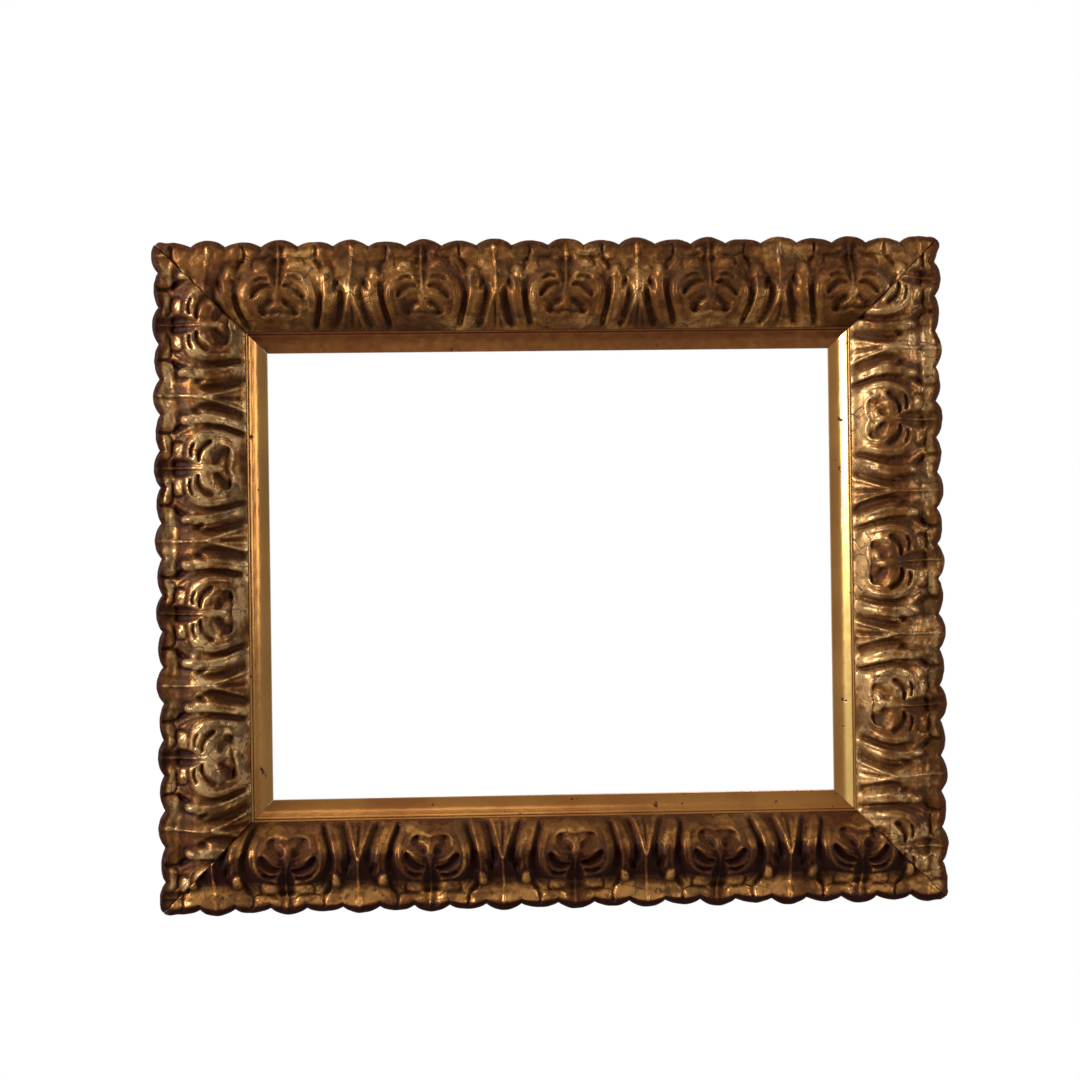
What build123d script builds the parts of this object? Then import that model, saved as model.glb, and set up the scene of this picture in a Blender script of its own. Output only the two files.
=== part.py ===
from build123d import *
import os
from math import ceil, floor, sqrt

# Ornate gilded picture frame, empty, for a 500 x 400 mm picture.
# It hangs upright: X runs to the right, Z up, the wall is the plane Y = 0 and the
# carved front faces -Y. The origin is the middle of the rebate's mouth.
# Each side is drawn across its moulding: "out" is the distance outwards from the sight
# edge, "up" the height in front of the wall, "along" the place along the side.

# Opening
SIGHT_WIDTH = 488.0
SIGHT_HEIGHT = 386.0
LAP = 7.5  # how far the slip covers the picture's edge

# Back frame
BACK_THICKNESS = 16.0
BACK_RAIL_WIDTH = 74.5
PEG_RADIUS = 5.0
PEG_INSET = 20.0  # each peg from the two nearest edges of its half lap

# Sight slip
SLIP_FACE = 17.0
SLIP_TONGUE = 8.0  # width that runs under the carving
SLIP_TONGUE_THICKNESS = 6.0
SIGHT_EDGE = 3.5  # thickness of the slip at the sight edge
COVE_WIDTH = 12.5
COVE_RISE = 7.5
COVE_HOLLOW = 2.0
FILLET_RISE = 1.5
LEDGE_STEP = 0.5  # the picture's ledge is cut this much into the slip's back

# Carved moulding, across
BASE_BAND = 7.0
TORUS_WIDTH = 50.0
OUTER_BAND = 13.0
RIM_WIDTH = 7.0
SIDE_INSET = 10.0  # outer side wall, in from the rim's edge

# Carved moulding, heights in front of the back frame
BASE_HEIGHT = 14.0
BAND_RISE = 1.0
CREST_HEIGHT = 36.0
HOLLOW_HEIGHT = 20.0
HOLLOW_DIP = 2.0
RIM_HEIGHT = 28.0
RIM_ROUND = 2.2
RIM_EDGE_HEIGHT = 23.0
SIDE_HEIGHT = 13.0  # top of the plain outer side wall

# Running ornament
LEAF_PITCH = 122.0
LEAF_LIFT = 3.0
FOOT_LIFT = 1.0  # lift at the ornament's inner end
LEAF_HALF_WIDTH = 34.0
LEAF_BULGE = 3.5  # how far the leaf's side bows outwards
LOBE_TIP = 8.0  # the top lobe's tip, from the middle vein
TIP_INSET = 1.0  # ornament's outer tips, in from the torus's outer edge
FOOT_INSET = 1.5  # ornament's feet, out from the torus's inner edge
VEIN_HALF_WIDTH = 3.0
SHOULDER_DEPTH = 12.5  # leaf's shoulder, in from the torus's outer edge
NOTCH_DEPTH = 8.0  # between the two top lobes
GROOVE_LENGTH = 20.0
GROOVE_WIDTH = 4.5
GROOVE_SLANT = 32.0
GROOVE_STEP = 13.0
MOUTH_RADIUS = 5.5
MOUTH_HEIGHT = 8.0
MOUTH_SPREAD = 9.5
HUSK_WIDTH = 6.0
HUSK_TIP = 43.0  # husk rib's rounded tip and foot, from the leaf's middle
HUSK_FOOT = 40.0
HUSK_BOW = 4.0
DART_HALF_WIDTH = 10.0
DART_HEIGHT = 18.0
STEM_WIDTH = 3.0
SCALLOPS_PER_LEAF = 4
SCALLOP_DEPTH = 4.5
SMALL_SCALLOP_DEPTH = 3.0

# Middle of one leaf from the middle of its side, clockwise from the front
LEAF_OFFSET = {"top": 14.5, "right": -5.8, "bottom": -15.5, "left": -29.3}

# Nails
NAIL_RADIUS = 1.6
NAIL_HEAD_RADIUS = 3.6
NAIL_HEAD_THICKNESS = 1.5
NAIL_GRIP = 18.0  # depth driven into the carving
NAIL_END_INSET = 32.0
MITRE_NAIL_LENGTH = 58.0
MITRE_NAIL_INSET = 18.0  # first nail from the outer side wall
MITRE_NAIL_STEP = 20.0
MITRE_NAIL_HEIGHT = 6.5  # in front of the back frame

# Turn buttons
BUTTON_RADIUS = 7.0
BUTTON_TIP_RADIUS = 4.5
BUTTON_REACH = 26.0
BUTTON_THICKNESS = 2.0
BUTTON_EDGE_ROUND = 0.5
BUTTON_MARGIN = 3.0  # between an open button and the rebate
BUTTON_SPACING = 190.0
PIVOT_RADIUS = 2.0
PIVOT_DEPTH = 13.0
PIVOT_HEAD_RADIUS = 4.2
PIVOT_HEAD_HEIGHT = 2.4
PIVOT_HEAD_BULGE = 0.6  # how far the domed head bows out

# Hangers
HANGER_SPACING = 300.0
HANGER_INSET = 24.0  # knuckle, in from the back frame's top edge
STRAP_WIDTH = 16.0
STRAP_LENGTH = 36.0
STRAP_THICKNESS = 1.5
STRAP_ROUND = 4.0
KNUCKLE_LENGTH = 10.0
KNUCKLE_WALL = 1.5
RING_BAR_RADIUS = 1.8
RING_THICKNESS = 3.0
RING_RADIUS = 12.0
RING_HOLE_RADIUS = 7.5
RING_ARM_WIDTH = 3.7
RING_STANDOFF = 0.5  # from the hanging ring to its strap, and to its knuckle
STRAP_SCREW_RADIUS = 1.7
STRAP_SCREW_HEAD = 3.1
STRAP_SCREW_DEPTH = 13.0
STRAP_SCREW_ENDS = 8.0  # first screw below the knuckle, last above the strap's foot

# Clearances
GLUE_LINE = 0.1
PIN_CLEARANCE = 0.08
RUNNING_CLEARANCE = 0.08
MOVING_GAP = 0.3
SLOT_WIDTH = 1.0
SLOT_DEPTH = 0.8

# Places worked out from the sizes above
WALL_OUT = LAP  # rebate wall, and the back frame's inner edge
BACK_OUT = LAP + BACK_RAIL_WIDTH
FRONT_OF_BACK = BACK_THICKNESS + GLUE_LINE
TONGUE_TOP = FRONT_OF_BACK + SLIP_TONGUE_THICKNESS
TONGUE_OUT = SLIP_FACE + SLIP_TONGUE
TORUS_IN = SLIP_FACE + BASE_BAND
TORUS_OUT = TORUS_IN + TORUS_WIDTH
RIM_IN = TORUS_OUT + OUTER_BAND
RIM_OUT = RIM_IN + RIM_WIDTH
SIDE_OUT = RIM_OUT - SIDE_INSET
BAR_BACK = STRAP_THICKNESS + RING_STANDOFF + RING_THICKNESS / 2
KNUCKLE_TOP = SIGHT_HEIGHT / 2 + BACK_OUT - HANGER_INSET
KNUCKLE_RADIUS = RING_BAR_RADIUS + RUNNING_CLEARANCE + KNUCKLE_WALL
RING_DROP = KNUCKLE_RADIUS + RING_STANDOFF + RING_RADIUS
BEYOND = 2 * (FRONT_OF_BACK + CREST_HEIGHT)  # deep enough to cut through the whole frame

FRONT = Vector(0, -1, 0)
BACK = Vector(0, 1, 0)
OUTWARD = {
    "top": Vector(0, 0, 1),
    "right": Vector(1, 0, 0),
    "bottom": Vector(0, 0, -1),
    "left": Vector(-1, 0, 0),
}


def along(side):
    """Direction that runs clockwise along a side, seen from the front."""
    return OUTWARD[side].cross(FRONT)


def half_span(side):
    """Half the sight opening, measured along a side."""
    return SIGHT_WIDTH / 2 if side in ("top", "bottom") else SIGHT_HEIGHT / 2


def sight_edge(side):
    """Middle of a side's sight edge, on the wall plane."""
    reach = SIGHT_HEIGHT / 2 if side in ("top", "bottom") else SIGHT_WIDTH / 2
    return OUTWARD[side] * reach


def section_plane(side):
    """Plane across a side at its middle: x is out, y is up."""
    return Plane(sight_edge(side), x_dir=OUTWARD[side], z_dir=along(side))


def face_plane(side, up=0.0):
    """Plane of a side seen from the front: x is along, y is out."""
    return Plane(sight_edge(side) + FRONT * up, x_dir=along(side), z_dir=FRONT)


def side_plane(side):
    """Plane of a carved moulding's outer side wall, looking in: x is along, y is up."""
    wall = sight_edge(side) + OUTWARD[side] * SIDE_OUT
    return Plane(wall, x_dir=along(side), z_dir=OUTWARD[side] * -1)


def pin_plane(x, z):
    """Plane through the axis of a pin in the back: x is its radius, y points backwards."""
    return Plane((x, 0, z), x_dir=(1, 0, 0), z_dir=(0, 0, 1))


def mitre_wedge(side):
    """Part of a side between its two mitres, with half the glue line off each end."""
    half = half_span(side) - GLUE_LINE / sqrt(2)
    far = RIM_OUT + SCALLOP_DEPTH
    Polygon((-half, 0), (half, 0), (half + far, far), (-half - far, far), mode=Mode.INTERSECT)


def leaf_places(side):
    """Leaf middles along a side, from mitre to mitre and one past."""
    end = half_span(side) + RIM_OUT + LEAF_PITCH
    first = ceil((-end - LEAF_OFFSET[side]) / LEAF_PITCH)
    last = floor((end - LEAF_OFFSET[side]) / LEAF_PITCH)
    return [LEAF_OFFSET[side] + LEAF_PITCH * i for i in range(first, last + 1)]


def nail_places(side):
    """The nails behind one side: one at the middle and one near each half lap."""
    end = half_span(side) + WALL_OUT - NAIL_END_INSET
    middle = (TORUS_IN + TORUS_OUT) / 2
    return [(-end, middle), (0, middle), (end, middle)]


def mitre_nail_places(side):
    """The two nails across each mitre, on an upright side."""
    up = FRONT_OF_BACK + MITRE_NAIL_HEIGHT
    outer = half_span(side) + SIDE_OUT - MITRE_NAIL_INSET
    inner = outer - MITRE_NAIL_STEP
    return [(-outer, up), (-inner, up), (inner, up), (outer, up)]


def peg_places(side):
    """The pegs of the half laps at both ends of one side, on the line of the mitre."""
    places = []
    for out in (WALL_OUT + PEG_INSET, BACK_OUT - PEG_INSET):
        places += [(-half_span(side) - out, out), (half_span(side) + out, out)]
    return places


def round_holes(plane, places, radius, depth):
    """Round holes of one depth, drilled from a plane."""
    with BuildSketch(plane) as circles:
        with Locations(*places):
            Circle(radius)
    extrude(circles.sketch, amount=depth, clean=False, mode=Mode.SUBTRACT)


def back_rail(side):
    """Softwood batten, halved at both ends into its neighbours."""
    length = 2 * (half_span(side) + BACK_OUT)
    upright = side in ("left", "right")
    middle = (WALL_OUT + BACK_OUT) / 2
    lap_size = BACK_RAIL_WIDTH + 2 * GLUE_LINE
    lap_depth = (BACK_THICKNESS + GLUE_LINE) / 2
    with BuildPart() as rail:
        with BuildSketch(face_plane(side)):
            with Locations((0, middle)):
                Rectangle(length, BACK_RAIL_WIDTH)
        extrude(amount=BACK_THICKNESS)
        with BuildSketch(face_plane(side, 0 if upright else BACK_THICKNESS - lap_depth)):
            with Locations((-half_span(side) - middle, middle), (half_span(side) + middle, middle)):
                Rectangle(lap_size, lap_size)
        extrude(amount=lap_depth, mode=Mode.SUBTRACT)
        places = nail_places(side)
        round_holes(face_plane(side), places, NAIL_HEAD_RADIUS + PIN_CLEARANCE, NAIL_HEAD_THICKNESS)
        round_holes(face_plane(side), places, NAIL_RADIUS + PIN_CLEARANCE, BACK_THICKNESS)
        round_holes(face_plane(side), peg_places(side), PEG_RADIUS + PIN_CLEARANCE, BACK_THICKNESS)
        if side == "top":
            strap_screw_holes()
        if upright:
            for x, z in button_places().values():
                pilot = Plane((x, 0, z), z_dir=FRONT)
                round_holes(pilot, [(0, 0)], PIVOT_RADIUS + PIN_CLEARANCE, PIVOT_DEPTH)
    return rail


def sight_slip(side):
    """Slip with a fillet and a cove in front, and a ledge for the picture behind."""
    ledge = FRONT_OF_BACK + LEDGE_STEP
    lip = ledge + SIGHT_EDGE
    fillet_top = lip + COVE_RISE + FILLET_RISE
    ledge_out = LAP - MOVING_GAP
    with BuildPart() as slip:
        with BuildSketch(section_plane(side)):
            with BuildLine():
                Polyline((0, ledge), (0, lip))
                SagittaArc((0, lip), (COVE_WIDTH, lip + COVE_RISE), -COVE_HOLLOW)
                Polyline(
                    (COVE_WIDTH, lip + COVE_RISE),
                    (COVE_WIDTH, fillet_top),
                    (SLIP_FACE, fillet_top),
                    (SLIP_FACE, TONGUE_TOP),
                    (TONGUE_OUT, TONGUE_TOP),
                    (TONGUE_OUT, FRONT_OF_BACK),
                    (ledge_out, FRONT_OF_BACK),
                    (ledge_out, ledge),
                    (0, ledge),
                )
            make_face()
        extrude(amount=half_span(side) + TONGUE_OUT, both=True)
        with BuildSketch(face_plane(side)):
            with Locations((0, TONGUE_OUT / 2)):
                Rectangle(2 * (half_span(side) + TONGUE_OUT), TONGUE_OUT)
            mitre_wedge(side)
        extrude(amount=BEYOND, mode=Mode.INTERSECT)
    return slip


def moulding_section(side):
    """Section of the carving: base band, torus, hollow outer band and rounded rim."""
    inner = SLIP_FACE + GLUE_LINE
    pocket_out = TONGUE_OUT + GLUE_LINE
    pocket_top = TONGUE_TOP + GLUE_LINE
    base = FRONT_OF_BACK + BASE_HEIGHT
    torus_foot = (TORUS_IN, base + BAND_RISE)
    crest = ((TORUS_IN + TORUS_OUT) / 2, FRONT_OF_BACK + CREST_HEIGHT)
    hollow = (TORUS_OUT, FRONT_OF_BACK + HOLLOW_HEIGHT)
    rim = (RIM_IN, FRONT_OF_BACK + RIM_HEIGHT)
    edge = (RIM_OUT, FRONT_OF_BACK + RIM_EDGE_HEIGHT)
    with BuildSketch(section_plane(side)) as section:
        with BuildLine():
            Polyline(
                (pocket_out, FRONT_OF_BACK),
                (pocket_out, pocket_top),
                (inner, pocket_top),
                (inner, base),
                torus_foot,
            )
            ThreePointArc(torus_foot, crest, hollow)
            SagittaArc(hollow, rim, -HOLLOW_DIP)
            SagittaArc(rim, edge, RIM_ROUND)
            Polyline(
                edge,
                (SIDE_OUT, FRONT_OF_BACK + SIDE_HEIGHT),
                (SIDE_OUT, FRONT_OF_BACK),
                (pocket_out, FRONT_OF_BACK),
            )
        make_face()
    return section.sketch


def ornament_section(side):
    """Section of the raised ornament: over the torus and down into the wood below it."""
    base = FRONT_OF_BACK + BASE_HEIGHT
    foot = (TORUS_IN, base + BAND_RISE + FOOT_LIFT)
    crest = ((TORUS_IN + TORUS_OUT) / 2, FRONT_OF_BACK + CREST_HEIGHT + LEAF_LIFT)
    outer = (TORUS_OUT, FRONT_OF_BACK + HOLLOW_HEIGHT + LEAF_LIFT)
    with BuildSketch(section_plane(side)) as section:
        with BuildLine():
            ThreePointArc(foot, crest, outer)
            Polyline(outer, (TORUS_OUT, base), (TORUS_IN, base), foot)
        make_face()
    return section.sketch


def leaf():
    """Acanthus leaf: bowed sides, two top lobes, slanting grooves and two mouth hollows."""
    foot = TORUS_IN + FOOT_INSET
    shoulder = TORUS_OUT - SHOULDER_DEPTH
    middle = (foot + shoulder) / 2
    notch = TORUS_OUT - NOTCH_DEPTH
    tip = TORUS_OUT - TIP_INSET
    half_leaf = LEAF_HALF_WIDTH / 2
    with BuildSketch() as outline:
        with BuildLine():
            Line((0, foot), (LEAF_HALF_WIDTH, foot))
            ThreePointArc(
                (LEAF_HALF_WIDTH, foot),
                (LEAF_HALF_WIDTH + LEAF_BULGE, middle),
                (LEAF_HALF_WIDTH, shoulder),
            )
            SagittaArc((LEAF_HALF_WIDTH, shoulder), (LOBE_TIP, tip), LEAF_BULGE)
            Polyline((LOBE_TIP, tip), (VEIN_HALF_WIDTH, notch), (0, notch))
            mirror(about=Plane.YZ)
        make_face()
        for sign in (-1, 1):
            slant = -sign * GROOVE_SLANT
            with Locations((sign * half_leaf, middle), (sign * half_leaf, middle + GROOVE_STEP)):
                SlotOverall(GROOVE_LENGTH, GROOVE_WIDTH, rotation=slant, mode=Mode.SUBTRACT)
            with Locations((sign * MOUTH_SPREAD, foot + MOUTH_HEIGHT)):
                Circle(MOUTH_RADIUS, mode=Mode.SUBTRACT)
    return outline.sketch


def husk():
    """A pair of bowed ribs, one at each side of a leaf."""
    foot = (HUSK_FOOT, TORUS_IN + FOOT_INSET + HUSK_WIDTH / 2)
    tip = (HUSK_TIP, TORUS_OUT - HUSK_WIDTH)
    bowed = ((HUSK_FOOT + HUSK_TIP) / 2 + HUSK_BOW, (TORUS_IN + TORUS_OUT) / 2)
    with BuildLine() as rib:
        ThreePointArc(foot, bowed, tip)
    with BuildSketch() as outline:
        SlotArc(rib.edge(), HUSK_WIDTH)
        mirror(about=Plane.YZ)
    return outline.sketch


def dart():
    """A pointed dart with a long stem, between two leaves."""
    foot = TORUS_IN + FOOT_INSET
    length = TORUS_WIDTH - FOOT_INSET - TIP_INSET
    with BuildSketch() as outline:
        Polygon((-DART_HALF_WIDTH, foot), (DART_HALF_WIDTH, foot), (0, foot + DART_HEIGHT))
        with Locations((0, foot)):
            Rectangle(STEM_WIDTH, length, align=(Align.CENTER, Align.MIN))
    return outline.sketch


def ornament(side):
    """The running pattern of one side: leaves with their husks, and darts between them."""
    motif = (leaf(), husk())
    between = dart()
    with BuildSketch(face_plane(side)) as pattern:
        for place in leaf_places(side):
            with Locations((place, 0)):
                add(motif)
            with Locations((place + LEAF_PITCH / 2, 0)):
                add(between)
    return pattern.sketch


def scalloped_face(side):
    """Front outline of a carved moulding: scallops outside, straight inside, mitred ends."""
    pitch = LEAF_PITCH / SCALLOPS_PER_LEAF
    foot = RIM_OUT - SCALLOP_DEPTH
    count = ceil((half_span(side) + RIM_OUT) / pitch) + 1
    start = LEAF_OFFSET[side] - (count + 0.5) * pitch
    end = start + (2 * count + 1) * pitch
    with BuildSketch(face_plane(side)) as face:
        with BuildLine():
            for i in range(2 * count + 1):
                depth = SMALL_SCALLOP_DEPTH if (i - count) % 2 else SCALLOP_DEPTH
                SagittaArc((start + i * pitch, foot), (start + (i + 1) * pitch, foot), depth)
            Polyline((end, foot), (end, SLIP_FACE), (start, SLIP_FACE), (start, foot))
        make_face()
        mitre_wedge(side)
    return face.sketch


def carved_moulding(side):
    """Carved moulding with its raised ornament, scalloped rim, mitred ends and nail holes."""
    half_length = half_span(side) + RIM_OUT + SCALLOP_DEPTH
    nail_hole = NAIL_RADIUS + PIN_CLEARANCE
    with BuildPart() as relief:
        extrude(ornament_section(side), amount=half_length, both=True)
        extrude(ornament(side), amount=BEYOND, clean=False, mode=Mode.INTERSECT)
    with BuildPart() as moulding:
        extrude(moulding_section(side), amount=half_length, both=True)
        add(relief.part, clean=False)
        extrude(scalloped_face(side), amount=BEYOND, clean=False, mode=Mode.INTERSECT)
        round_holes(face_plane(side), nail_places(side), nail_hole, BACK_THICKNESS + NAIL_GRIP)
        for upright in ("left", "right"):
            places = mitre_nail_places(upright)
            round_holes(side_plane(upright), places, nail_hole, MITRE_NAIL_LENGTH)
            if side == upright:
                head = NAIL_HEAD_RADIUS + PIN_CLEARANCE
                round_holes(side_plane(upright), places, head, NAIL_HEAD_THICKNESS)
    return moulding


def lap_pegs():
    """Wooden pegs through the half laps."""
    with BuildPart() as pegs:
        for side in ("top", "bottom"):
            with BuildSketch(face_plane(side)):
                with Locations(*peg_places(side)):
                    Circle(PEG_RADIUS)
            extrude(amount=BACK_THICKNESS)
    return pegs


def nails(plane, places, length):
    """Flat-headed nails driven in from a plane."""
    with BuildSketch(plane) as heads:
        with Locations(*places):
            Circle(NAIL_HEAD_RADIUS)
    with BuildSketch(plane) as shanks:
        with Locations(*places):
            Circle(NAIL_RADIUS)
    extrude(heads.sketch, amount=NAIL_HEAD_THICKNESS)
    extrude(shanks.sketch, amount=length)


def moulding_nails():
    """Nails through the back frame into the carving."""
    with BuildPart() as group:
        for side in OUTWARD:
            nails(face_plane(side), nail_places(side), BACK_THICKNESS + NAIL_GRIP)
    return group


def mitre_nails():
    """Nails across the mitres, driven in through the upright mouldings' outer sides."""
    with BuildPart() as group:
        for side in ("left", "right"):
            nails(side_plane(side), mitre_nail_places(side), MITRE_NAIL_LENGTH)
    return group


def button_places():
    """Pivots of the turn buttons on the wall plane, by name."""
    places = {}
    for side in ("left", "right"):
        x = (sight_edge(side) + OUTWARD[side] * (WALL_OUT + BUTTON_MARGIN + BUTTON_RADIUS)).X
        places[side + "_upper"] = (x, BUTTON_SPACING / 2)
        places[side + "_lower"] = (x, -BUTTON_SPACING / 2)
    return places


def turn_button(x, z):
    """Brass turn button: a drop-shaped plate hanging down from its pivot."""
    with BuildPart() as button:
        with BuildSketch(Plane((x, GLUE_LINE, z), x_dir=(-1, 0, 0), z_dir=BACK)):
            Circle(BUTTON_RADIUS)
            with Locations((0, -BUTTON_REACH)):
                Circle(BUTTON_TIP_RADIUS)
            make_hull()
        extrude(amount=BUTTON_THICKNESS)
        fillet(button.faces().sort_by(Axis.Y)[-1].edges(), BUTTON_EDGE_ROUND)
        round_holes(Plane((x, 0, z), z_dir=BACK), [(0, 0)], PIVOT_RADIUS + RUNNING_CLEARANCE, BEYOND)
    return button


def turn_button_screws():
    """Round-head screws that the turn buttons turn on."""
    seat = GLUE_LINE + BUTTON_THICKNESS + GLUE_LINE
    crown = seat + PIVOT_HEAD_HEIGHT
    with BuildPart() as screws:
        for x, z in button_places().values():
            with BuildSketch(pin_plane(x, z)):
                with BuildLine():
                    Polyline(
                        (0, crown),
                        (0, -PIVOT_DEPTH),
                        (PIVOT_RADIUS, PIVOT_RADIUS - PIVOT_DEPTH),
                        (PIVOT_RADIUS, seat),
                        (PIVOT_HEAD_RADIUS, seat),
                    )
                    SagittaArc((PIVOT_HEAD_RADIUS, seat), (0, crown), -PIVOT_HEAD_BULGE)
                make_face()
            revolve(axis=Axis((x, 0, z), BACK))
            with BuildSketch(Plane((x, crown, z), z_dir=FRONT)):
                Rectangle(2 * PIVOT_HEAD_RADIUS, SLOT_WIDTH)
            extrude(amount=SLOT_DEPTH, mode=Mode.SUBTRACT)
    return screws


def hanger_places():
    """Middle of each hanger, by name."""
    return {"left": -HANGER_SPACING / 2, "right": HANGER_SPACING / 2}


def strap_screw_places(x):
    """The screws of one strap, on the wall plane."""
    return [(x, KNUCKLE_TOP - STRAP_SCREW_ENDS), (x, KNUCKLE_TOP - STRAP_LENGTH + STRAP_SCREW_ENDS)]


def strap_screw_holes():
    """Pilot holes for all strap screws, drilled into the top back rail."""
    for x in hanger_places().values():
        for place_x, z in strap_screw_places(x):
            hole = Plane((place_x, 0, z), z_dir=FRONT)
            round_holes(hole, [(0, 0)], STRAP_SCREW_RADIUS + PIN_CLEARANCE, STRAP_SCREW_DEPTH)


def countersunk(x, z, grow):
    """Half section of a countersunk screw, flush with the strap; grow makes its hole."""
    head = STRAP_SCREW_HEAD + grow
    shank = STRAP_SCREW_RADIUS + grow
    with BuildSketch(pin_plane(x, z)) as half_section:
        Polygon(
            (0, STRAP_THICKNESS),
            (0, -STRAP_SCREW_DEPTH),
            (shank, shank - STRAP_SCREW_DEPTH),
            (shank, STRAP_THICKNESS + shank - head),
            (head, STRAP_THICKNESS),
        )
    return half_section.sketch


def hanger_plate(x):
    """Brass strap, screwed below a rolled knuckle."""
    with BuildPart() as plate:
        with BuildSketch(Plane((x, 0, KNUCKLE_TOP), x_dir=(-1, 0, 0), z_dir=BACK)):
            with Locations((0, -STRAP_LENGTH / 2)):
                RectangleRounded(STRAP_WIDTH, STRAP_LENGTH, STRAP_ROUND)
            with Locations((0, -STRAP_ROUND / 2)):
                Rectangle(KNUCKLE_LENGTH, STRAP_ROUND)
        extrude(amount=STRAP_THICKNESS)
        with BuildSketch(Plane((x, BAR_BACK, KNUCKLE_TOP), z_dir=(1, 0, 0))):
            Circle(KNUCKLE_RADIUS)
            Rectangle(KNUCKLE_RADIUS, BAR_BACK, align=(Align.MAX, Align.MIN))
        extrude(amount=KNUCKLE_LENGTH / 2, both=True)
        with BuildSketch(Plane((x, BAR_BACK, KNUCKLE_TOP), z_dir=(1, 0, 0))):
            Circle(RING_BAR_RADIUS + RUNNING_CLEARANCE)
        extrude(amount=STRAP_WIDTH, both=True, mode=Mode.SUBTRACT)
        for screw_x, z in strap_screw_places(x):
            hole = countersunk(screw_x, z, PIN_CLEARANCE)
            revolve(hole, axis=Axis((screw_x, 0, z), BACK), mode=Mode.SUBTRACT)
    return plate


def hanger_ring(x):
    """Flat ring on two arms, hanging down from the bar that turns in the knuckle."""
    arm_middle = KNUCKLE_LENGTH / 2 + MOVING_GAP + RING_ARM_WIDTH / 2
    with BuildPart() as ring:
        with BuildSketch(Plane((x, BAR_BACK, KNUCKLE_TOP), x_dir=(-1, 0, 0), z_dir=BACK)):
            with Locations((-arm_middle, -RING_DROP / 2), (arm_middle, -RING_DROP / 2)):
                Rectangle(RING_ARM_WIDTH, RING_DROP)
            with Locations((0, -RING_DROP)):
                Circle(RING_RADIUS)
                Circle(RING_HOLE_RADIUS, mode=Mode.SUBTRACT)
        extrude(amount=RING_THICKNESS / 2, both=True)
        with BuildSketch(Plane((x, BAR_BACK, KNUCKLE_TOP), z_dir=(1, 0, 0))):
            Circle(RING_BAR_RADIUS)
        extrude(amount=arm_middle + RING_ARM_WIDTH / 2, both=True)
    return ring


def hanger_screws():
    """Countersunk screws of both straps."""
    with BuildPart() as screws:
        for x in hanger_places().values():
            for screw_x, z in strap_screw_places(x):
                revolve(countersunk(screw_x, z, 0), axis=Axis((screw_x, 0, z), BACK))
                with BuildSketch(Plane((screw_x, STRAP_THICKNESS, z), z_dir=FRONT)):
                    Rectangle(2 * STRAP_SCREW_HEAD, SLOT_WIDTH)
                extrude(amount=SLOT_DEPTH, mode=Mode.SUBTRACT)
    return screws


def save(piece, name):
    """Labels a finished piece and writes it to its own file."""
    piece.part.label = name
    export_step(piece.part, f"parts/{name}.step")


os.makedirs("parts", exist_ok=True)
for side in OUTWARD:
    save(back_rail(side), "back_rail_" + side)
    save(carved_moulding(side), "carved_moulding_" + side)
    save(sight_slip(side), "sight_slip_" + side)
save(lap_pegs(), "lap_pegs")
save(moulding_nails(), "moulding_nails")
save(mitre_nails(), "mitre_nails")
for name, (x, z) in button_places().items():
    save(turn_button(x, z), "turn_button_" + name)
save(turn_button_screws(), "turn_button_screws")
for name, x in hanger_places().items():
    save(hanger_plate(x), "hanger_plate_" + name)
    save(hanger_ring(x), "hanger_ring_" + name)
save(hanger_screws(), "hanger_screws")
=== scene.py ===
import math
import bpy
import numpy as np
from mathutils import Matrix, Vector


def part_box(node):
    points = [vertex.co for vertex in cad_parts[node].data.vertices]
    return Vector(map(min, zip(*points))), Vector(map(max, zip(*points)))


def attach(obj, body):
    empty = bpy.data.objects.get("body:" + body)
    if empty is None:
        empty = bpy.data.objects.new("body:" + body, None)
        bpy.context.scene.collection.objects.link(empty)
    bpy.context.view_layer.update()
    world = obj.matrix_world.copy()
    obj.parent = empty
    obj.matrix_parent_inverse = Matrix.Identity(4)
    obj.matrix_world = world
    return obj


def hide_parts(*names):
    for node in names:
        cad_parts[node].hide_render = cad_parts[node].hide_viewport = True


# Ornate gilded frame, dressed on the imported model.
# Lengths here are millimetres and become metres where a mesh is made. Each side is drawn
# across its moulding: "out" is the distance outwards from the sight edge, "up" the height
# in front of the wall and "along" the place along the side, clockwise from the front. The
# carving is drawn on a map of half a leaf, where "a" is the distance along from the leaf's
# centre line and "r" the distance out.

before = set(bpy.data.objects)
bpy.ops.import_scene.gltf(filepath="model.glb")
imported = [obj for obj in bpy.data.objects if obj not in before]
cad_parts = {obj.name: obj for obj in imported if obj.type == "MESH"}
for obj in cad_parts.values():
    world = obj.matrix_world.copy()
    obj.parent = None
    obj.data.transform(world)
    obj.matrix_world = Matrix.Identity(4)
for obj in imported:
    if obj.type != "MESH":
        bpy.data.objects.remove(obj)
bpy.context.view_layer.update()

METRE = 1000.0

# Section of a sight slip: places out, heights up, or (out, up)
GLUE_LINE = 0.1
FRONT_OF_BACK = 16.1  # where the slip and the moulding meet the back rails
LEDGE = 16.6  # where the picture rests
LEDGE_OUT = 7.2
SIGHT_LIP = 20.1
LIP_ROUND = 0.5
SIGHT_BAND = [
    (LIP_ROUND, SIGHT_LIP), (3.5, 20.4), (6.5, 21.2), (9.5, 22.9), (12, 25.2), (13.5, 26.7),
    (14.7, 27.5)]
QUIRK = [(14.95, 27.25), (15.2, 27.4)]
QUIRK_OUT = 15.05
SLIP_FACE = 17.0  # where the slip ends and the carving begins
BEAD = [(15.3, 27.7), (16.1, 28.7), (SLIP_FACE, 28.8)]
BEAD_FOOT = 28.7
TONGUE_OUT = 25.0
TONGUE_TOP = 22.1
SLIP_ROWS = 260

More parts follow.
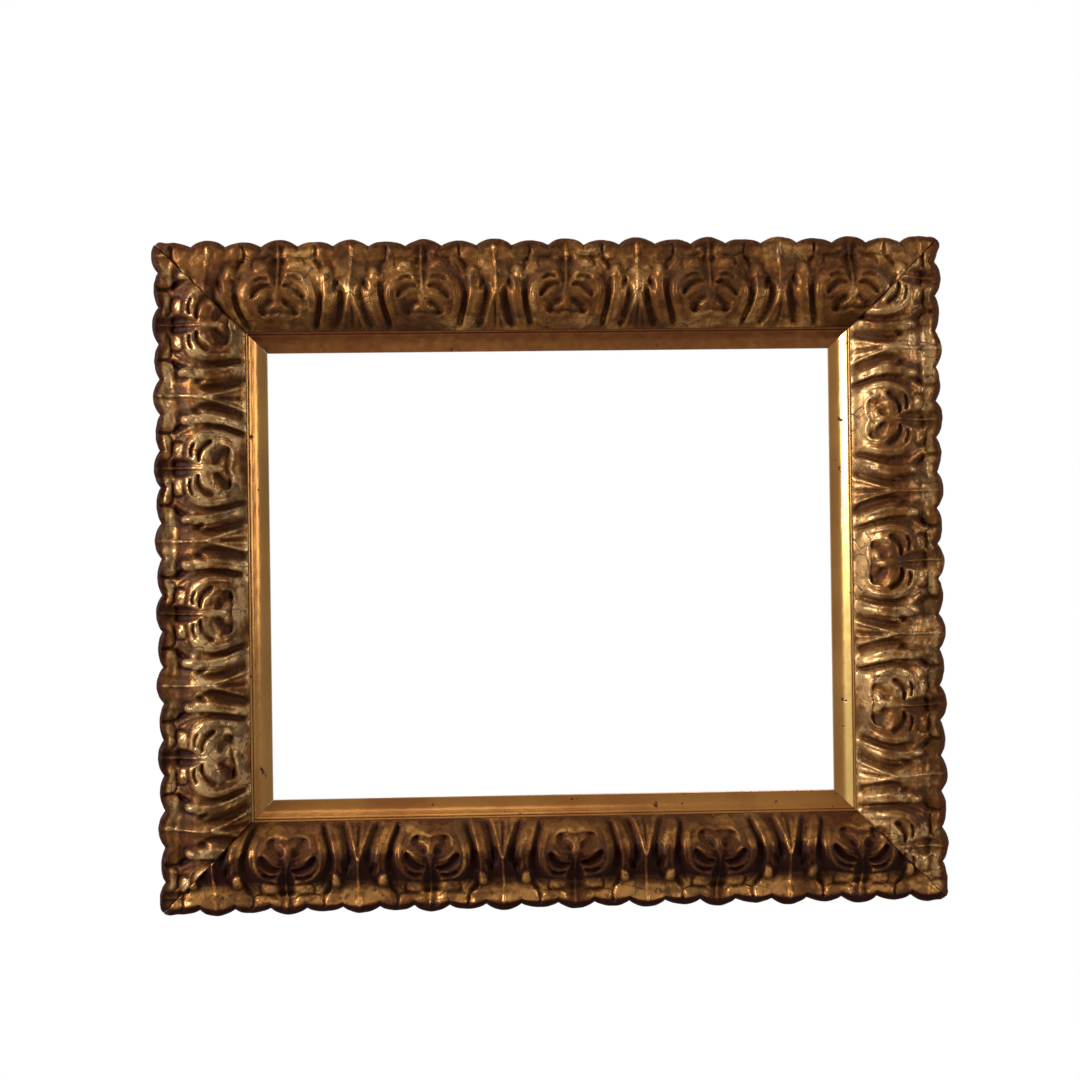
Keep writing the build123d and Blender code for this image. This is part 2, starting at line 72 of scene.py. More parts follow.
# Section of a carved moulding, before the carving
BASE_TOP = 30.1
FOOT_START = (18.3, 30.0)
TORUS_FOOT = (24.0, 31.1)
TORUS_CREST = (49.0, 52.1)
TORUS_END = (74.0, 36.1)
TORUS_KEPT = (30, 65)  # what is left of it between the foot and the trough
FOOT_PULL = 3  # how far the foot and the trough follow the torus's slope, in its steps
TROUGH_PULL = 10.5
RIM_TOP = (87.0, 44.1)
RIM_SIDE = (91.8, 43.4)
RIM_EDGE = (94.0, 39.1)
SIDE_OUT = 83.7  # a little behind the heads of the mitre nails
SIDE_TOP = 29.1
FOOT_POINTS, TORUS_POINTS, TROUGH_POINTS, RIM_POINTS = 11, 58, 26, 8
ROW_STEP = 0.72  # between one section of the mesh and the next

# Running ornament
LEAF_PITCH = 122.0
HALF_PITCH = LEAF_PITCH / 2
LEAF_OFFSET = {"top": 14.5, "right": -5.8, "bottom": -15.5, "left": -29.3}
GROUND = -1.0  # level of the carving between its raised forms, above the plain section
LEAF_TOP = 2.4
HUSK_TOP = 1.8
FAN_TOP = 0.8
HIGHEST = 54.9  # the carving stays inside the CAD box
MAP_STEP = 0.2
SCALLOP_PITCH = LEAF_PITCH / 4
SCALLOP_DEPTH = 5.3
SMALL_SCALLOP_DEPTH = 3.6
RIM_SETBACK = 0.42  # so that an uneven rim stays inside the CAD box
CORNER_ROUND = 11.0
CORNER_SETBACK = 0.4
CORNER_TIP = (1 - math.sqrt(0.5)) * CORNER_ROUND  # what the rounding takes off the mitre's tip
CORNER_BLEND = (4.4, 18)  # from the rounded corner to the scallops

# Hand work: how large each irregularity is, how long, and its number after the side's seed
HAND = {
    "drift": (1.3, 60, 0),  # of the pattern along the side
    "sway": (1.1, 45, 1),  # of the pattern across it
    "lumps": (1.0, 10, 2),
    "rim drift": (0.8, 60, 3),
    "rim": (0.3, 25, 4),
    "depth": (0.18, 38, 5),  # of the carving, as a share
    "tool marks": (0.1, 4, 6),
    "slip waves": (0.08, 60, 0),
    "slip ripples": (0.03, 14, 1),
}
SEED_FIRST, SEED_STEP = 11, 20

# Finish of each side, with its painted light and shade
# Painted light and shade: how far each side's ridges and recesses are pushed apart, as the light
# falls on that side
LIGHT_CONTRAST = {"top": 0.65, "right": 1.0, "bottom": 1.3, "left": 1.35}  # contrast of ridge and recess
# Painted light: the rubbed gold is paler on the sides that the light rakes
HIGHLIGHT_PALENESS = {"top": 0.32, "right": 0.8, "bottom": 0.0, "left": 0.96}  # how pale the rubbed gold is
PLAIN_EXPOSED = 0.3  # on the parts that aren't carved

# Painted highlight and painted shade of each slip, on its flat and on its band
# Painted highlight: a paler gold on the slips that face the light, most on the right one's band
SLIP_HIGHLIGHT = {"top": (0, 0), "right": (0.14, 0.9), "bottom": (0, 0), "left": (0.22, 0.11)}
# Painted shade: the upper slip, which faces down, darkened over its flat and its band
SLIP_SHADE = {"top": (0.75, 0.85), "right": (0, 0), "bottom": (0, 0), "left": (0, 0)}

# Directions of the four sides
OUTWARD = {"top": (0, 0, 1), "right": (1, 0, 0), "bottom": (0, 0, -1), "left": (-1, 0, 0)}
ALONG = {"top": (1, 0, 0), "right": (0, 0, -1), "bottom": (-1, 0, 0), "left": (0, 0, 1)}
SIDES = tuple(OUTWARD)

# The sight opening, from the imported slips
HALF_WIDTH = -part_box("sight_slip_left")[1][0] * METRE
HALF_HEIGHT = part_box("sight_slip_top")[0][2] * METRE


def half_span(side):
    """Half the sight opening, measured along a side."""
    return HALF_WIDTH if side in ("top", "bottom") else HALF_HEIGHT


# Curves and profiles

def spline(points, steps=6):
    """Smooth line through given points: each span is the cubic whose slopes at its
    ends are half the difference of the neighbouring points."""
    p = np.array([points[0], *points, points[-1]], float)
    t = np.linspace(0, 1, steps, endpoint=False)[:, None, None]
    a, b, c, d = p[:-3], p[1:-2], p[2:-1], p[3:]
    square, cube = 2 * a - 5 * b + 4 * c - d, 3 * b - a - 3 * c + d
    cubic = 2 * b + (c - a) * t + square * t**2 + cube * t**3
    return np.vstack([(cubic / 2).transpose(1, 0, 2).reshape(-1, 2), p[-1:]])


def segment_gap(a, r, p, q):
    """Distance from each place to the segment p to q, and how far along it that is."""
    d = q - p
    t = np.clip(((a - p[0]) * d[0] + (r - p[1]) * d[1]) / max(d @ d, 1e-9), 0, 1)
    return np.hypot(a - p[0] - t * d[0], r - p[1] - t * d[1]), t


def stroke(a, r, points, wide_from, wide_to, taper=0.0):
    """Distance to a smooth line over its half width there: 0 on the line, 1 at its edge.
    The width runs evenly from one end to the other, and taper thins both ends."""
    line = spline(points)
    at = np.linspace(0, 1, len(line))
    wide = (wide_from + (wide_to - wide_from) * at) * (1 - taper * (2 * at - 1) ** 4)
    best = np.full(a.shape, 9.0)
    for p, q, wide_p, wide_q in zip(line[:-1], line[1:], wide[:-1], wide[1:]):
        gap, t = segment_gap(a, r, p, q)
        best = np.minimum(best, gap / (wide_p + t * (wide_q - wide_p)))
    return best


def depth_inside(a, r, points):
    """Distance to a closed smooth outline, positive inside and negative outside."""
    line = spline(points + points[:1])
    best = np.full(a.shape, 99.0)
    inside = np.zeros(a.shape, bool)
    for p, q in zip(line[:-1], line[1:]):
        best = np.minimum(best, segment_gap(a, r, p, q)[0])
        rise = q[1] - p[1] if q[1] != p[1] else 1e-9
        crossing = p[0] + (r - p[1]) * (q[0] - p[0]) / rise
        inside ^= ((p[1] > r) != (q[1] > r)) & (a < crossing)
    return np.where(inside, best, -best)


def ease(x, low, high):
    """0 up to low, 1 from high on, and a smooth S between."""
    t = np.clip((x - low) / (high - low), 0, 1)
    return t * t * (3 - 2 * t)


def rib(q, power):
    """Round ridge over a stroke: 1 on its line, 0 at its edge."""
    return 1 - np.clip(q, 0, 1) ** power


def dip(q):
    """Soft round hollow over a stroke: 1 on its line, 0 at its edge, flat at both."""
    return (1 - np.clip(q, 0, 1) ** 2) ** 2


def gouge(q):
    """Soft hollow over a stroke, with a low sharp ridge just outside its edge."""
    return dip(q) - 0.1 * np.exp(-((q - 1.2) / 0.24) ** 2)


def slit(q):
    """Sharp cut along a stroke, with its shoulders rounded off to both sides."""
    return 0.75 * (1 - np.clip(q, 0, 1)) ** 1.2 + 0.25 * dip(q / 2.8)


def shoulder(inside, wide, power=2.2):
    """Round edge of a raised form: 0 at its outline, 1 from wide inwards."""
    return 1 - (1 - np.clip(inside / wide, 0, 1)) ** power


def oval(a, r, middle, half_sizes, lean):
    """Distance from an oval's middle over its size, 0 to 1 inside. Lean moves its places
    sideways as they go out."""
    return np.hypot((a - middle[0] - lean * (r - middle[1])) / half_sizes[0],
                    (r - middle[1]) / half_sizes[1])


def wobble(x, y, size, seed):
    """Smooth irregularity between about -1 and 1: a sum of sine waves in seeded directions,
    about size long."""
    rng = np.random.default_rng(seed)
    total = np.zeros(np.broadcast(x, y).shape)
    for _ in range(6):
        turn, phase = rng.uniform(0, 2 * math.pi, 2)
        wave = 2 * math.pi / (size * rng.uniform(0.7, 1.6))
        total += np.sin(wave * (x * math.cos(turn) + y * math.sin(turn)) + phase)
    return total / 3


def by_hand(kind, x, y, seed):
    """One irregularity of hand work, at places on a side with this seed."""
    size, length, number = HAND[kind]
    return size * wobble(x, y, length, seed + number)


def soften(field, reach):
    """Running mean of a map over a square window that reaches so many mm, three times, with
    the map mirrored at its edges."""
    cells = round(reach / MAP_STEP)
    window = 2 * cells + 1
    for _ in range(3):
        for axis in (0, 1):
            rolled = np.moveaxis(field, axis, 0)
            padded = np.concatenate([rolled[cells:0:-1], rolled, rolled[-2:-cells - 2:-1]])
            total = np.cumsum(np.concatenate([np.zeros_like(padded[:1]), padded]), axis=0)
            field = np.moveaxis((total[window:] - total[:-window]) / window, 0, axis)
    return field


# The carved relief, drawn once for half a leaf and mirrored along each side. Lines are points
# (a, r), followed by their half widths at the start and at the end.

def leaf_body(a, r):
    """Level of the carving: the highest of the rounded leaf, the husk rib and the dart's flat
    fan, with the dart's petal, the husk's knob, and the lobe and finger of the leaf on top."""
    leaf = depth_inside(a, r, [
        (-9, 77), (9, 77), (20, 76), (28, 70.5), (33, 58), (35.3, 46), (34.2, 35), (31, 26),
        (28, 14), (-28, 14), (-46, 46)])
    husk = stroke(a, r, [
        (41.5, 66), (43, 54), (43, 44), (41, 33.5), (37, 24), (34.5, 15)], 5.2, 4.8)
    fan = ease(a, 45, 52) * ease(r, 54, 66)
    petal = ease(a, 55, 59) * (1 - 0.6 * ease(r, 54, 66))
    knob = oval(a, r, (41.5, 64), (5.2, 7.0), 0.15)
    lobe = oval(a, r, (15.5, 71), (8.0, 7.0), 0)
    finger = stroke(a, r, [(36, 58.5), (32.5, 65), (28, 71), (25.5, 76)], 3.4, 4.6)
    level = GROUND + (LEAF_TOP - GROUND) * shoulder(leaf, 9)
    level = np.maximum(level, GROUND + (HUSK_TOP - GROUND) * rib(husk, 2))
    level = np.maximum(level, GROUND + (FAN_TOP - GROUND) * fan)
    return (
        level
        + 1.2 * petal
        + 3.2 * rib(knob, 2)
        + 2.4 * rib(lobe, 1.8)
        + 2.2 * rib(finger, 1.8)
    )


def leaf_cuts(a, r):
    """Depth of what is cut away: grooves round the leaf and beside the husk, the channel along
    the vein, the slit between the lobes, two crescents beside the vein, the hollow and the cut
    at the leaf's foot, holes beside the knob and the finger, and the wedge under the dart."""
    groove = stroke(a, r, [
        (9, 66), (18, 65.5), (25.5, 62), (31, 55), (34.5, 45), (34, 35), (31, 26), (28, 14)],
        2.0, 4.6)
    groove_depth = (1.2 + 2.4 * ease(a, 14, 28)) * (1 - 0.45 * ease(r, 34, 50))
    saddle = stroke(a, r, [(33, 62), (36, 54), (37, 44)], 5.0, 4.0)
    flute = stroke(a, r, [
        (49.5, 57), (53, 51), (53.5, 44), (52.5, 38), (50, 30), (44, 14)], 3.6, 5.2)
    channel = 3.0 + 5.4 * ease(r, 44, 70)
    lobe_slit = stroke(a, r, [(22, 78), (22.8, 72), (21.5, 67)], 1.3, 1.0, taper=0.5)
    small_crescent = stroke(a, r, [(8, 59), (14, 60), (20.5, 57.4)], 1.9, 2.5, taper=0.6)
    large_crescent = stroke(a, r, [
        (5, 52.8), (10, 53.2), (15.5, 51), (20, 46.6), (21.8, 43.4)], 3.0, 5.0, taper=0.6)
    hollow = stroke(a, r, [(6, 38.5), (9.5, 36.5), (13, 33.5)], 4.6, 7.4)
    foot_cut = stroke(a, r, [(0, 30.6), (8, 29.8), (16, 30.6)], 1.7, 2.0)
    knob_hole = oval(a, r, (48.4, 53), (3.8, 7.5), 0.35)
    finger_hole = oval(a, r, (35, 72), (3.8, 6.5), -0.3)
    wedge = stroke(a, r, [(HALF_PITCH, 36), (HALF_PITCH, 14)], 0.6, 5.0)
    return (
        groove_depth * dip(groove)
        + 1.1 * dip(saddle)
        + 3.8 * dip(flute) * (1 - 0.8 * ease(r, 46, 58))
        + 3.4 * (1 - ease(a, 0.5 * channel, 1.15 * channel)) * ease(r, 46, 60)
        + 2.2 * slit(lobe_slit)
        + 2.2 * gouge(small_crescent)
        + 3.8 * gouge(large_crescent)
        + 3.8 * dip(hollow)
        + 1.5 * dip(foot_cut)
        + 3.0 * dip(knob_hole)
        + 2.4 * dip(finger_hole)
        + 2.8 * np.clip(1 - wedge, 0, 1)
    )


def leaf_lines(a, r):
    """Height of the raised lines: the vein, which swells towards the leaf's foot, the bands over
    and under the crescents, the curl at the foot, the edges of the leaf and of the husk, and the
    dart's stem and legs."""
    swell = 1.2 + 3.0 * ease(r, 30, 37) * (1 - ease(r, 40, 54))
    vein = (1.4 + 0.9 * ease(r, 52, 57)) * rib(a / swell, 1.8) * ease(r, 29, 33)
    upper_band = stroke(a, r, [(8, 63.2), (19, 61.5), (26, 53.5), (28, 43), (27, 30)], 2.2, 3.0)
    lower_band = stroke(a, r, [(8, 46.4), (13.5, 44.4), (19.5, 40.8)], 1.5, 1.8)
    curl = stroke(a, r, [(19.5, 35), (18, 29.5), (13, 26.4), (7, 26), (0, 28)], 1.7, 1.7)
    leaf_edge = stroke(a, r, [
        (21, 64.2), (27, 60), (30.3, 52), (31, 43), (29.6, 33), (27, 24)], 1.2, 1.5)
    husk_far_edge = stroke(a, r, [
        (45.8, 62), (47, 52), (46.4, 42), (44, 32), (40, 22)], 1.2, 1.5)
    husk_near_edge = stroke(a, r, [
        (39.5, 60), (39.6, 50), (38.8, 40), (36.4, 30), (33.6, 21)], 1.2, 1.5)
    stem = rib((HALF_PITCH - a) / 1.3, 1.8) * ease(r, 36, 44)
    leg = stroke(a, r, [(60, 46), (57.5, 36), (53.5, 25), (49, 15)], 1.2, 2.2)
    return (
        vein
        + 1.0 * rib(upper_band, 2)
        + 1.2 * rib(lower_band, 2)
        + 1.4 * rib(curl, 2)
        + 0.7 * rib(leaf_edge, 1.4)
        + 0.9 * rib(husk_far_edge, 1.4)
        + 0.9 * rib(husk_near_edge, 1.4)
        + 1.8 * stem
        + 1.9 * rib(leg, 2)
    )


def leaf_veins(a, r):
    """Depth of the fine lines cut along the leaf's side, its lobes and the husk, and of the
    spiral inside the curl."""
    lines = (
        [(11, 63.8), (20, 62.2), (26.3, 56), (29.4, 47), (29.2, 36), (26.5, 25)],
        [(24.5, 50), (26, 43), (25, 34), (21.5, 27)],
        [(11, 74), (14, 70.5), (18.5, 68.5)],
        [(17, 75.5), (19, 72), (20.5, 69)],
        [(25.5, 73.5), (28.5, 69), (31, 65.5)],
        [(42.6, 57), (43.2, 47), (41.4, 36), (37.6, 24)],
        [(14.5, 39.5), (18.6, 37.5), (19.6, 33), (16.5, 29.8), (12.8, 31), (12.6, 34),
         (15, 35.2)],
    )
    return sum(slit(stroke(a, r, line, 1.0, 1.0, taper=0.6)) for line in lines)


def rim_petals(a, r):
    """Outer band: low domes behind the scallops, short slits at the notches between them, the
    gutter that carries the leaf's vein, the gap beside each lobe, the wavy valley under it and
    the bar over it, the dart's flat fan, and the veins of leaf and dart."""
    x = np.abs((a + SCALLOP_PITCH / 2) % SCALLOP_PITCH - SCALLOP_PITCH / 2)
    dome = ease(r, 79, 88) * (1 - (2 * x / SCALLOP_PITCH) ** 2)
    first_notch = stroke(a, r, [(15.25, 94), (15, 91), (14.5, 87.5)], 1.5, 0.7)
    second_notch = stroke(a, r, [(45.75, 94), (46, 91), (46.5, 87.5)], 1.5, 0.7)
    gutter = (1 - ease(a, 3.5, 9.0)) * (1 - ease(r, 83, 91))
    gap = stroke(a, r, [(30.8, 88), (30.3, 82), (31.8, 75)], 2.2, 2.8)
    valley = stroke(a, r, [
        (8, 80), (11, 77.6), (16, 78), (21, 76.8), (26, 77.4), (28.5, 79.5)], 1.3, 1.5)
    bar = stroke(a, r, [(11.5, 82.6), (18, 82), (25.5, 82.4)], 3.0, 3.6)
    fan = ease(a, 33, 37) * (1 - ease(r, 84, 90))
    veins = rib(a / 1.2, 2) + rib((HALF_PITCH - a) / 1.4, 2)
    return (
        0.5 * dome
        - 1.3 * slit(first_notch)
        - 1.3 * slit(second_notch)
        - 1.9 * gutter
        - 2.2 * dip(gap)
        - 1.2 * dip(valley)
        + 1.0 * rib(bar, 3)
        + 0.9 * fan
        + 1.8 * veins * ease(r, 64, 74) * (1 - ease(r, 85, 91))
    )


def draw_relief():
    """Relief over half a leaf, in mm above the plain section, and how exposed each place is:
    0 in a recess and 1 on a ridge. That is the height above the mean of its surroundings, wide
    and narrow, more on the fan and the outer band, and less in the gutter and on the rim."""
    a, r = np.meshgrid(np.arange(0, HALF_PITCH + MAP_STEP, MAP_STEP),
                       np.arange(SLIP_FACE, RIM_EDGE[0] + MAP_STEP, MAP_STEP))
    carved = leaf_body(a, r) - leaf_cuts(a, r) + leaf_lines(a, r) - leaf_veins(a, r)
    d = carved * ease(r, 17, 23) * (1 - ease(r, 73, 79)) + rim_petals(a, r) * ease(r, 69, 76)
    d = soften(d, 0.4)
    proud = soften(d, 0.6) - soften(d, 4.5)
    crease = np.minimum(d - soften(d, 1.4), 0)
    ridge = np.maximum(d - soften(d, 1.2), 0)
    fan = 0.08 * ease(a, 36, 46) * ease(r, 58, 68)
    band = 0.1 * ease(r, 73, 78) - 0.6 * ease(r, 84.5, 90)
    gutter = 0.14 * (1 - ease(a, 4, 10)) * ease(r, 58, 66)
    exposure_and_painted_light = 0.5 + proud / 13 + d / 40 + crease / 4 + 0.12 * ridge + fan + band - gutter
    return d, np.clip(exposure_and_painted_light, 0, 1)


RELIEF, EXPOSED = draw_relief()


def look_up(field, along, r):
    """Value of a relief map at places along a side, by the four nearest grid points."""
    a = np.abs((along + HALF_PITCH) % LEAF_PITCH - HALF_PITCH) / MAP_STEP
    y = np.clip((r - SLIP_FACE) / MAP_STEP, 0, field.shape[0] - 1.001)
    x = np.clip(a, 0, field.shape[1] - 1.001)
    i, j = y.astype(int), x.astype(int)
    fy, fx = y - i, x - j
    low = field[i, j] * (1 - fx) + field[i, j + 1] * fx
    high = field[i + 1, j] * (1 - fx) + field[i + 1, j + 1] * fx
    return low * (1 - fy) + high * fy


# Sections

def arc(start, middle, end, count):
    """Points along the circle through three points, without the last one."""
    (ax, ay), (bx, by), (cx, cy) = start, middle, end
    g = 2 * (ax * (by - cy) + bx * (cy - ay) + cx * (ay - by))
    sa, sb, sc = ax**2 + ay**2, bx**2 + by**2, cx**2 + cy**2
    ux = (sa * (by - cy) + sb * (cy - ay) + sc * (ay - by)) / g
    uy = (sa * (cx - bx) + sb * (ax - cx) + sc * (bx - ax)) / g
    turn = np.unwrap([math.atan2(y - uy, x - ux) for x, y in (start, middle, end)])
    angle = np.linspace(turn[0], turn[2], count, endpoint=False)
    radius = math.hypot(ax - ux, ay - uy)
    return np.column_stack([ux + radius * np.cos(angle), uy + radius * np.sin(angle)])


def bend(start, corner, end, count):
    """Points along the parabola that leaves start and reaches end heading for and from corner,
    without the last one."""
    t = np.linspace(0, 1, count, endpoint=False)[:, None]
    start, corner, end = np.array(start), np.array(corner), np.array(end)
    return (1 - t) ** 2 * start + 2 * t * (1 - t) * corner + t**2 * end


def run(start, end, count):
    """Evenly spaced points from start up to, but not including, end."""
    return np.linspace(start, end, count, endpoint=False)


def moulding_section():
    """Closed section of a carved moulding: the front from the slip over the foot, the torus, the
    trough and the rim, and the plain back. Also says how many points the front has, which are
    those that the carving moves."""
    inner = SLIP_FACE + GLUE_LINE
    pocket_out, pocket_top = TONGUE_OUT + GLUE_LINE, TONGUE_TOP + GLUE_LINE
    torus = arc(TORUS_FOOT, TORUS_CREST, TORUS_END, TORUS_POINTS)
    torus = torus[(torus[:, 0] > TORUS_KEPT[0]) & (torus[:, 0] < TORUS_KEPT[1])]
    foot_corner = torus[0] - (torus[1] - torus[0]) * FOOT_PULL
    trough_corner = torus[-1] + (torus[-1] - torus[-2]) * TROUGH_PULL
    front = np.vstack([
        [(inner, BASE_TOP - 0.9), (inner + 0.6, BASE_TOP - 0.4)],
        bend(FOOT_START, foot_corner, torus[0], FOOT_POINTS),
        torus,
        bend(torus[-1], trough_corner, RIM_TOP, TROUGH_POINTS)[1:],
        arc(RIM_TOP, RIM_SIDE, RIM_EDGE, RIM_POINTS),
        [RIM_EDGE],
    ])
    back = np.vstack([
        run(RIM_EDGE, (SIDE_OUT, SIDE_TOP), 4)[1:],
        [(SIDE_OUT + 0.6, SIDE_TOP + 0.6), (SIDE_OUT, SIDE_TOP), (SIDE_OUT, SIDE_TOP - 0.8)],
        [(SIDE_OUT, FRONT_OF_BACK), (pocket_out, FRONT_OF_BACK), (pocket_out, pocket_top)],
        run((inner, pocket_top), (inner, BASE_TOP), 3),
    ])
    return np.vstack([front, back]), len(front)


def slip_section():
    """Closed section of a sight slip: the sight edge, the smooth band from its flat to its steep
    part, the quirk, the bead, the tongue and the picture's ledge."""
    return np.vstack([
        run((0, LEDGE), (0, SIGHT_LIP - LIP_ROUND), 4),
        [(0, SIGHT_LIP - LIP_ROUND), (0.15, SIGHT_LIP - 0.1)],
        spline(SIGHT_BAND),
        QUIRK,
        arc(*BEAD, 8),
        [(SLIP_FACE, BEAD_FOOT)],
        [(SLIP_FACE, TONGUE_TOP), (TONGUE_OUT, TONGUE_TOP), (TONGUE_OUT, FRONT_OF_BACK)],
        [(LEDGE_OUT, FRONT_OF_BACK), (LEDGE_OUT, LEDGE)],
    ])


# Meshes

def place(side, along, out, up):
    """Points of one side in the shared frame, in metres."""
    reach = HALF_HEIGHT if side in ("top", "bottom") else HALF_WIDTH
    points = along[..., None] * np.array(ALONG[side], float)
    points = points + (reach + out)[..., None] * np.array(OUTWARD[side], float)
    points[..., 1] -= up
    return points / METRE


def tube(name, points, attributes):
    """Closed tube from a grid of points: lengthwise along the first index, round the section
    along the second, with a flat cap at each end. Faces are turned outwards by the sign of the
    volume that they enclose. Attributes are one value per point."""
    lengths, around = points.shape[:2]
    index = np.arange(lengths * around).reshape(lengths, around)
    after = np.roll(index, -1, axis=1)
    quads = np.stack([index[:-1], after[:-1], after[1:], index[1:]], axis=-1).reshape(-1, 4)
    caps = [index[0][::-1].tolist(), index[-1].tolist()]
    flat = points.reshape(-1, 3)
    p, q, s, u = (flat[quads[:, corner]] for corner in range(4))
    volume = np.einsum("ij,ij->", p, np.cross(q, s)) + np.einsum("ij,ij->", p, np.cross(s, u))
    if volume < 0:
        quads = quads[:, ::-1]
        caps = [cap[::-1] for cap in caps]
    mesh = bpy.data.meshes.new(name)
    mesh.from_pydata(flat.tolist(), [], quads.tolist() + caps)
    for key, values in attributes.items():
        layer = mesh.attributes.new(key, "FLOAT", "POINT")
        layer.data.foreach_set("value", np.ascontiguousarray(values, np.float32).ravel())
    mesh.polygons.foreach_set("use_smooth", np.ones(len(mesh.polygons), bool))
    mesh.set_sharp_from_angle(angle=math.radians(48))
    obj = bpy.data.objects.new(name, mesh)
    bpy.context.scene.collection.objects.link(obj)
    return obj


def scallops(leaf):
    """Outer edge of the scallops, from the sight edge: circular arcs between sharp notches,
    a deep one and a shallow one by turns."""
    number = np.round(leaf / SCALLOP_PITCH)
    x = leaf - number * SCALLOP_PITCH
    depth = np.where(number % 2 == 0, SCALLOP_DEPTH, SMALL_SCALLOP_DEPTH)
    radius = ((SCALLOP_PITCH / 2) ** 2 + depth**2) / (2 * depth)
    return RIM_EDGE[0] - SCALLOP_DEPTH + depth - radius + np.sqrt(radius**2 - x**2)


def rim_line(leaf, along, to_tip, seed):
    """Outer edge of one side: uneven scallops that pass, near the mitre's tip, into a quarter
    circle round the corner."""
    edge = scallops(leaf + by_hand("rim drift", along, 0 * along, seed))
    edge = edge - RIM_SETBACK - by_hand("rim", along, 0 * along, seed)
    to_end = to_tip + CORNER_TIP
    turned = CORNER_ROUND - np.clip(to_end, 0, CORNER_ROUND)
    corner = RIM_EDGE[0] - CORNER_SETBACK - CORNER_ROUND + np.sqrt(CORNER_ROUND**2 - turned**2)
    return corner + (edge - corner) * ease(to_end, *CORNER_BLEND)


def carved_lift(leaf, along, out, to_mitre, sway, seed):
    """How far the carving raises the section: the leaf's relief, a little lower at the mitre,
    uneven in depth, with lumps that are larger on the outer band and with fine tool marks."""
    sway = sway * ease(out, 26, 34) * (1 - ease(out, 70, 78))
    lift = look_up(RELIEF, leaf, out + sway)
    lift = lift * (0.75 + 0.25 * ease(to_mitre, -0.5, 2.5)) - 0.6 * (1 - ease(to_mitre, 0, 0.8))
    lift = lift * (1 + by_hand("depth", along, out, seed))
    lumps = (0.22 + 0.35 * ease(out, 72, 78)) * by_hand("lumps", along, out, seed)
    return lift + (lumps + by_hand("tool marks", along, out, seed)) * ease(out, 19, 24)


def painted_side_light(side, exposure_and_painted_light, out):
    """How exposed the gilding is, with the painted light and shade of its side: the side's contrast
    spreads it about one half.
    The lower moulding has painted shade on the down-facing flank of its torus and under its rim, a
    darker foot and painted light on its upward-facing outer band, the left one painted light on its
    foot and crest and a flank darker on its flats and brighter on its ridges, and the right one
    painted light on its inner half. The painted shade takes most from what is least exposed, so the
    ridges stay bright."""
    # Painted light and shade: the side's contrast of ridge and recess
    exposure_and_painted_light = 0.5 + LIGHT_CONTRAST[side] * (exposure_and_painted_light - 0.5)
    if side == "bottom":
        # Painted shade on the torus's down-facing flank and under the rim, deepest where the
        # gilding is least exposed
        painted_shade = ease(out, 37, 47) * (1 - ease(out, 60, 71)) + ease(out, 86, 90)
        foot = 1 - ease(out, 44, 52)
        # Painted light on the outer band, which faces up
        band = ease(out, 68, 74) * (1 - ease(out, 84, 88))
        return exposure_and_painted_light + painted_shade * (3.8 * exposure_and_painted_light - 3.5) - 0.14 * foot + 0.16 * band
    if side == "left":
        foot = 1 - ease(out, 24, 31)
        crest = ease(out, 42, 52) * (1 - ease(out, 58, 64))
        flank = ease(out, 58, 68) * (1 - 0.8 * ease(out, 73, 79))
        # Painted light on the foot and the crest
        exposure_and_painted_light = exposure_and_painted_light + 0.2 * foot + 0.2 * crest
        return exposure_and_painted_light + flank * (1.7 * exposure_and_painted_light - 1.45)
    if side == "right":
        # Painted light on the inner half, which faces the light, and a little over the whole side
        return exposure_and_painted_light + 0.28 * (1 - ease(out, 24, 42)) + 0.05
    return exposure_and_painted_light


def carved_moulding(side, seed):
    """One carved moulding: the section swept between its mitres, raised and cut by the relief
    of the running leaf, and drawn in to the scalloped rim outside the torus."""
    section, front = moulding_section()
    half = half_span(side) - GLUE_LINE
    u = np.linspace(-1, 1, round(2 * (half + RIM_EDGE[0]) / ROW_STEP))[:, None]
    out, up = section[None, :, 0], section[None, :, 1]
    number = np.arange(len(section))[None, :]
    along = u * (half + out)
    leaf = along - LEAF_OFFSET[side]
    drifted = leaf + by_hand("drift", along, out, seed)
    sway = by_hand("sway", along, out, seed)

    carve = number < front
    lift = carved_lift(drifted, along, out, half + out - np.abs(along), sway, seed)
    height = np.where(carve, np.minimum(up + lift, HIGHEST), up + 0 * along)

    edge = rim_line(leaf, along, (half + RIM_EDGE[0]) * (1 - np.abs(u)), seed)
    outer = (out > TORUS_END[0]) & (number <= front)
    share = np.clip((out - TORUS_END[0]) / (RIM_EDGE[0] - TORUS_END[0]), 0, 1)
    shift = np.where(outer, share * (edge - RIM_EDGE[0]), 0)
    tip = np.where(outer, (CORNER_SETBACK + CORNER_TIP) * share, 0)
    moved = along - tip * np.sign(u) * np.abs(u) ** 9

    exposure_and_painted_light = np.where(carve, look_up(EXPOSED, drifted, out + sway), PLAIN_EXPOSED)
    # Painted light and shade of this side, added to how exposed each place is
    exposure_and_painted_light = painted_side_light(side, exposure_and_painted_light, out)
    points = place(side, moved, out + shift, height)
    # The pale value is painted light: how pale the side's rubbed gold is
    finish = {"exposure_and_painted_light": exposure_and_painted_light, "pale": HIGHLIGHT_PALENESS[side] + 0 * exposure_and_painted_light}
    return tube("carving_" + side, points, finish)


